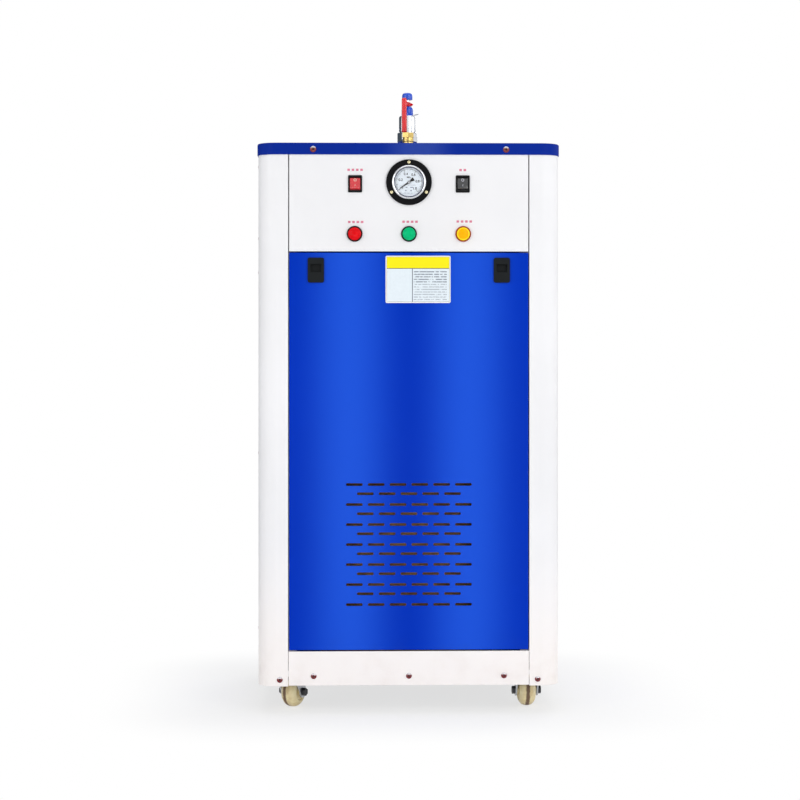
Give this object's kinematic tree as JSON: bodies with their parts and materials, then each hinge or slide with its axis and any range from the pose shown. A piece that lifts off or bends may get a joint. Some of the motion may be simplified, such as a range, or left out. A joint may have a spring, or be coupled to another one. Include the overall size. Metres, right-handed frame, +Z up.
{
  "type": "electric steam generator",
  "caption": "Upright sheet metal electric steam generator on swivel casters, blue slotted door between white corner posts, gauge, rocker switches, lamps and a safety valve on the lid",
  "frame": {"origin": "On the floor, under the middle of the overall box", "axes": "+X to the right seen from the front, the front faces -Y, +Z up"},
  "size_m": [0.566, 0.51, 1.1655],
  "materials": {
    "white_paint": "satin powder coat",
    "blue_paint": "satin powder coat",
    "navy_paint": "satin powder coat",
    "galvanised": "galvanised sheet",
    "black_plastic": "fine grain",
    "charcoal_plastic": "fine grain",
    "gauge_black": "satin enamel",
    "chrome": "polished plating",
    "dial_white": "matt print",
    "pointer_black": "matt",
    "clear_glass": "clear",
    "red_plastic": "gloss",
    "amber_plastic": "gloss",
    "red_lens": "translucent gloss",
    "green_lens": "translucent gloss",
    "amber_lens": "translucent gloss",
    "label_metal": "brushed sheet",
    "valve_blue": "gloss enamel",
    "valve_red": "gloss dipped coat",
    "brass": "turned",
    "zinc": "zinc plate",
    "nylon": "moulded",
    "vessel_wrap": "coarse insulation"
  },
  "bodies": {
    "cabinet": {"base_pan": "galvanised", "front_posts": "white_paint", "rear_posts": "white_paint", "stop_flanges": "white_paint", "kick_plates": "white_paint", "upper_back_panel": "white_paint", "upper_side_panels": "white_paint", "left_panel": "blue_paint", "right_panel": "blue_paint", "back_panel": "blue_paint", "top_lid": "navy_paint", "instrument_panel": "white_paint", "front_door": "blue_paint", "label_plate": "label_metal", "latch_housings": "charcoal_plastic", "gauge_flange": "gauge_black", "gauge_case": "chrome", "gauge_dial": "dial_white", "gauge_glass": "clear_glass", "switch_frames": "black_plastic", "lamp_bezels": "black_plastic", "amber_lamp_bezel": "amber_plastic", "red_lens": "red_lens", "green_lens": "green_lens", "amber_lens": "amber_lens", "valve_body": "chrome", "valve_bonnet": "valve_blue", "valve_spindle": "chrome", "valve_cap": "valve_blue", "steam_outlet": "brass", "water_inlet": "brass", "drain_outlet": "brass", "cable_gland": "black_plastic", "steam_vessel": "vessel_wrap", "caster_plates": "zinc"},
    "left_latch_slide_body": {"left_latch_slide": "charcoal_plastic"},
    "right_latch_slide_body": {"right_latch_slide": "charcoal_plastic"},
    "gauge_pointer_body": {"gauge_pointer": "pointer_black"},
    "left_rocker_body": {"left_rocker": "red_plastic"},
    "right_rocker_body": {"right_rocker": "charcoal_plastic"},
    "valve_lever_body": {"valve_lever": "valve_red"},
    "front_left_fork_body": {"front_left_fork": "zinc"},
    "front_left_wheel_body": {"front_left_wheel": "nylon"},
    "front_right_fork_body": {"front_right_fork": "zinc"},
    "front_right_wheel_body": {"front_right_wheel": "nylon"},
    "rear_left_fork_body": {"rear_left_fork": "zinc"},
    "rear_left_wheel_body": {"rear_left_wheel": "nylon"},
    "rear_right_fork_body": {"rear_right_fork": "zinc"},
    "rear_right_wheel_body": {"rear_right_wheel": "nylon"}
  },
  "joints": [
    {"name": "front_left_swivel", "type": "hinge", "parent": "cabinet", "child": "front_left_fork_body", "pos_m": [-0.226, -0.188, 0.078], "axis": [0, 0, 1], "continuous": true},
    {"name": "front_left_roll", "type": "hinge", "parent": "front_left_fork_body", "child": "front_left_wheel_body", "pos_m": [-0.21661, -0.17034, 0.029], "axis": [0.8829, -0.4695, 0], "continuous": true},
    {"name": "front_right_swivel", "type": "hinge", "parent": "cabinet", "child": "front_right_fork_body", "pos_m": [0.226, -0.188, 0.078], "axis": [0, 0, 1], "continuous": true},
    {"name": "front_right_roll", "type": "hinge", "parent": "front_right_fork_body", "child": "front_right_wheel_body", "pos_m": [0.22495, -0.16803, 0.029], "axis": [0.9986, 0.0523, 0], "continuous": true},
    {"name": "rear_left_swivel", "type": "hinge", "parent": "cabinet", "child": "rear_left_fork_body", "pos_m": [-0.226, 0.178, 0.078], "axis": [0, 0, 1], "continuous": true},
    {"name": "rear_left_roll", "type": "hinge", "parent": "rear_left_fork_body", "child": "rear_left_wheel_body", "pos_m": [-0.22116, 0.19741, 0.029], "axis": [0.9703, -0.2419, 0], "continuous": true},
    {"name": "rear_right_swivel", "type": "hinge", "parent": "cabinet", "child": "rear_right_fork_body", "pos_m": [0.226, 0.178, 0.078], "axis": [0, 0, 1], "continuous": true},
    {"name": "rear_right_roll", "type": "hinge", "parent": "rear_right_fork_body", "child": "rear_right_wheel_body", "pos_m": [0.22287, 0.19775, 0.029], "axis": [0.9877, 0.1564, 0], "continuous": true},
    {"name": "left_rocker_tilt", "type": "hinge", "parent": "cabinet", "child": "left_rocker_body", "pos_m": [-0.10013, -0.2395, 0.9835], "axis": [1, 0, 0], "range_deg": [0, 22]},
    {"name": "right_rocker_tilt", "type": "hinge", "parent": "cabinet", "child": "right_rocker_body", "pos_m": [0.10013, -0.2395, 0.9835], "axis": [1, 0, 0], "range_deg": [0, 22]},
    {"name": "pointer_turn", "type": "hinge", "parent": "cabinet", "child": "gauge_pointer_body", "pos_m": [0, -0.24835, 0.9865], "axis": [0, 1, 0], "range_deg": [0, 263], "stiffness_Nm_per_rad": 0.002},
    {"name": "lever_lift", "type": "hinge", "parent": "cabinet", "child": "valve_lever_body", "pos_m": [0.00207, -0.12532, 1.144], "axis": [-0.9659, 0.2588, 0], "range_deg": [0, 15], "stiffness_Nm_per_rad": 0.6},
    {"name": "left_latch_pull", "type": "slide", "parent": "cabinet", "child": "left_latch_slide_body", "axis": [0, 0, -1], "range_m": [0, 0.005], "stiffness_N_per_m": 250, "springref_m": -0.002},
    {"name": "right_latch_pull", "type": "slide", "parent": "cabinet", "child": "right_latch_slide_body", "axis": [0, 0, -1], "range_m": [0, 0.005], "stiffness_N_per_m": 250, "springref_m": -0.002}
  ]
}
